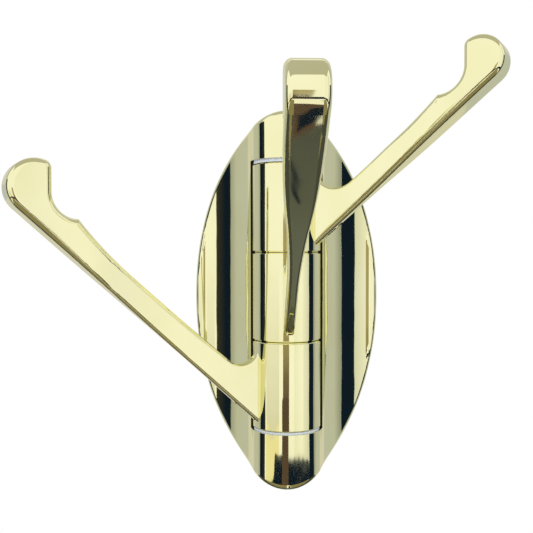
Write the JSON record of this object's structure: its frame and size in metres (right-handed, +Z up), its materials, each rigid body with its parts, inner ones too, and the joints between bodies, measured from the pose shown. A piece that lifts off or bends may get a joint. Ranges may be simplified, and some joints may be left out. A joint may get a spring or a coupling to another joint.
{
  "type": "folding wall hook",
  "caption": "Polished wall hook: a pointed-oval back plate with a round spine whose window holds barrels on an upright pin, each barrel carrying a knobbed arm that swings to either side.",
  "frame": {"origin": "centre of the back plate on the wall plane", "axes": "+Z up the pin, +Y into the wall, the hook faces -Y, +X to the right seen from the front"},
  "size_m": [0.1262, 0.0898, 0.1199],
  "materials": {
    "gold": "polished",
    "nylon": "matte",
    "steel": "satin"
  },
  "bodies": {
    "plate": {"back_plate": "gold", "hinge_pin": "steel", "upper_washer": "nylon", "lower_washer": "nylon", "wall_bracket": "steel", "set_screw": "steel"},
    "upper_hook": {"upper_arm": "gold"},
    "middle_hook": {"middle_arm": "gold"},
    "lower_hook": {"lower_arm": "gold"}
  },
  "joints": [
    {"name": "upper_swing", "type": "hinge", "parent": "plate", "child": "upper_hook", "pos_m": [0, -0.02, 0], "axis": [0, 0, 1], "range_deg": [-139, 15]},
    {"name": "middle_swing", "type": "hinge", "parent": "plate", "child": "middle_hook", "pos_m": [0, -0.02, 0], "axis": [0, 0, 1], "range_deg": [-80.3, 73.7]},
    {"name": "lower_swing", "type": "hinge", "parent": "plate", "child": "lower_hook", "pos_m": [0, -0.02, 0], "axis": [0, 0, 1], "range_deg": [-15, 139]}
  ]
}
